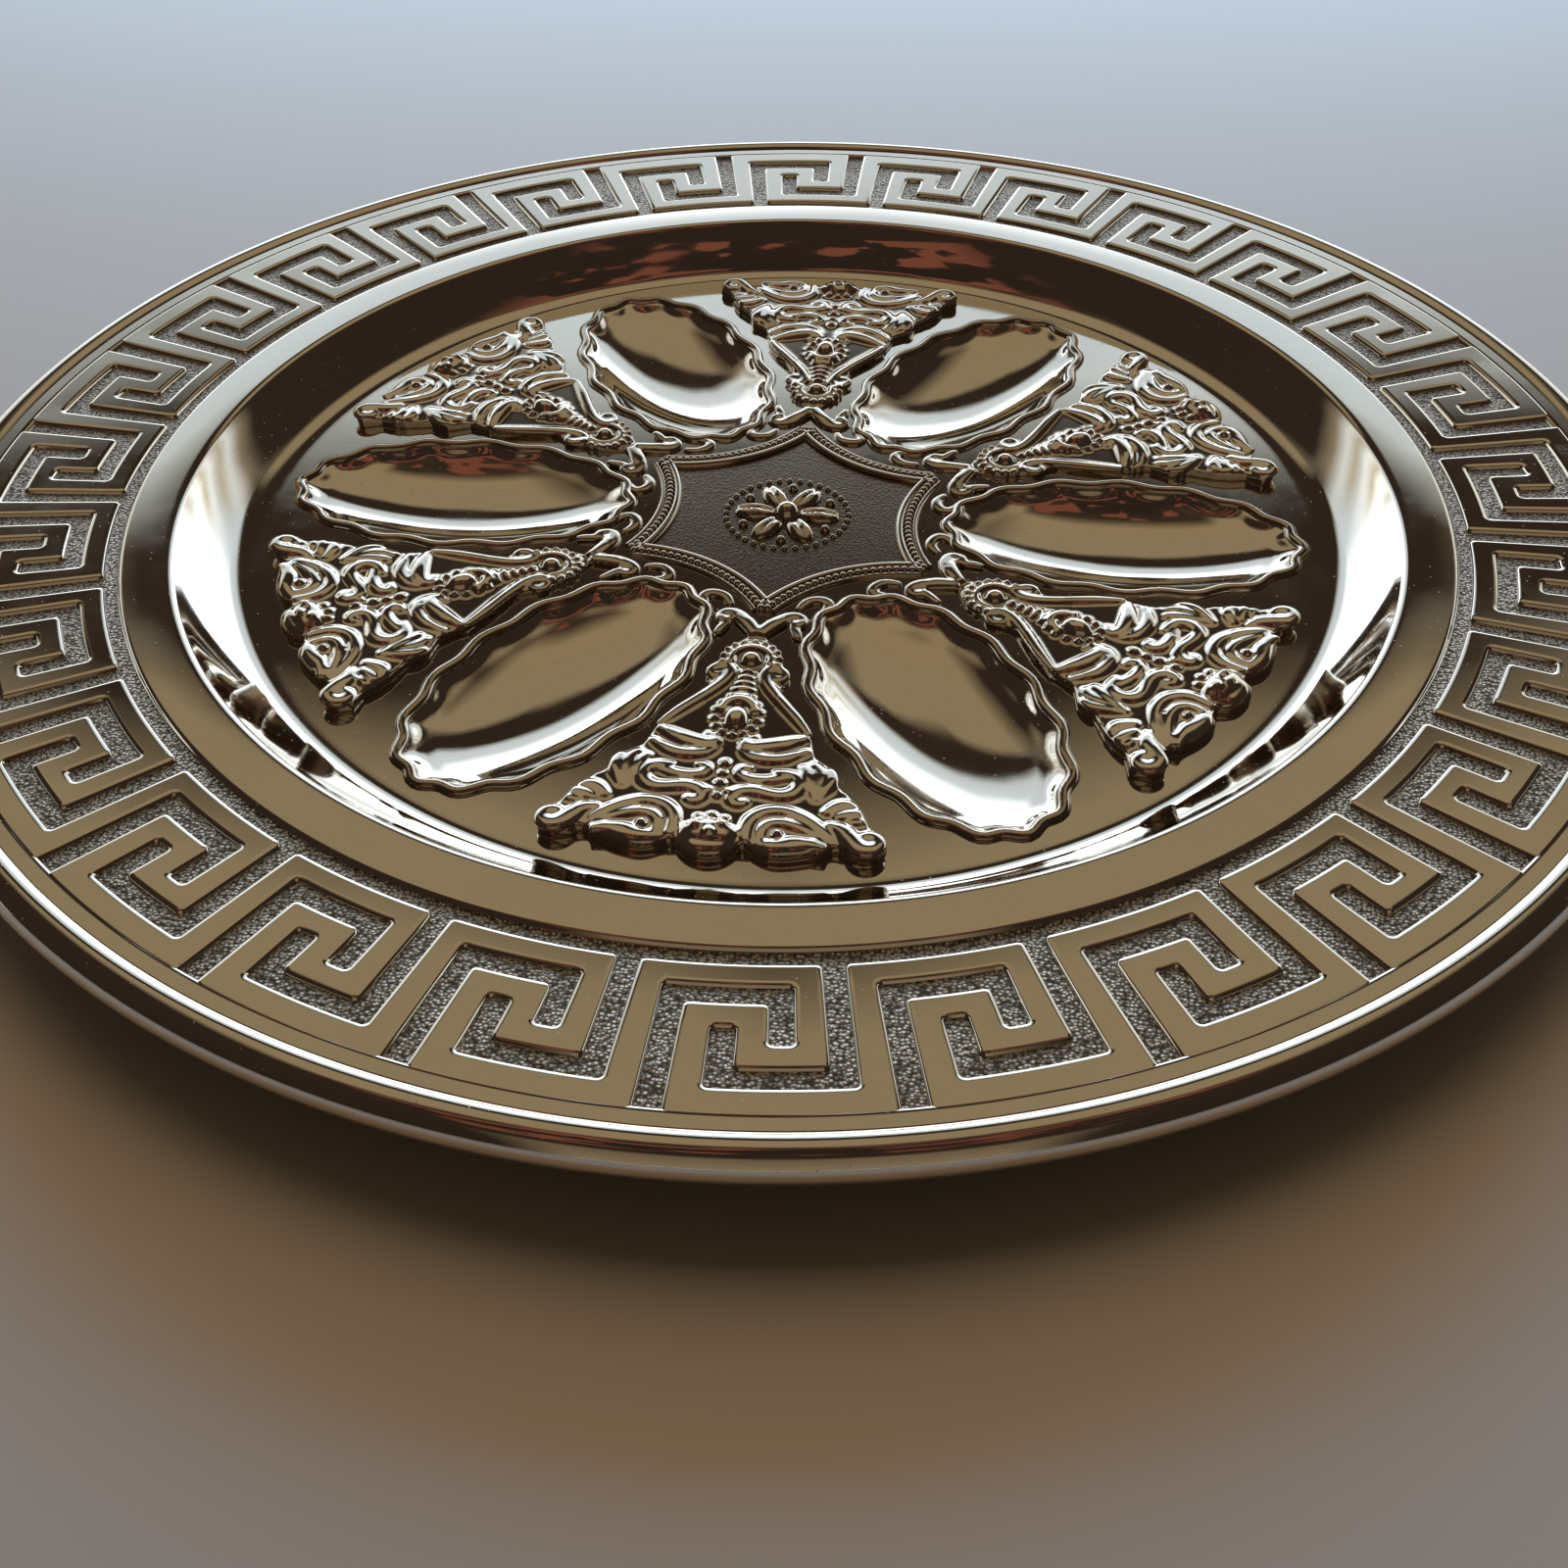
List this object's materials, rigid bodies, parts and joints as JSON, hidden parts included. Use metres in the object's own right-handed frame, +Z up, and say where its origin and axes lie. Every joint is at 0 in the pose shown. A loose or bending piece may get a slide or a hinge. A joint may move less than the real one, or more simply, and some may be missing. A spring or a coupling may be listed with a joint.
{
  "type": "seder plate",
  "caption": "Round polished metal seder plate with a rolled edge, a running-key border, a star in the middle, oval food wells and scroll relief panels between them.",
  "frame": {"origin": "on the table, under the middle of the plate, in the plane of the wells' undersides", "axes": "+Z up along the plate's axis, +X along the first well, +Y to its left seen from above"},
  "size_m": [0.33, 0.33, 0.0192],
  "materials": {
    "polished_sheet": "mirror-polished silver plate with fine scratches, stippled and darkened ground under the border",
    "polished_relief": "mirror-polished silver plate with softened edges",
    "aged_relief": "polished silver plate with darkened hollows"
  },
  "bodies": {
    "root": {"plate_body": "polished_sheet", "meander_border": "polished_relief", "star_frame": "polished_relief", "centre_rosette": "polished_relief", "well_rim_1": "polished_relief", "well_rim_2": "polished_relief", "well_rim_3": "polished_relief", "well_rim_4": "polished_relief", "well_rim_5": "polished_relief", "well_rim_6": "polished_relief", "scroll_panel_1": "aged_relief", "scroll_panel_2": "aged_relief", "scroll_panel_3": "aged_relief", "scroll_panel_4": "aged_relief", "scroll_panel_5": "aged_relief", "scroll_panel_6": "aged_relief"}
  },
  "joints": []
}
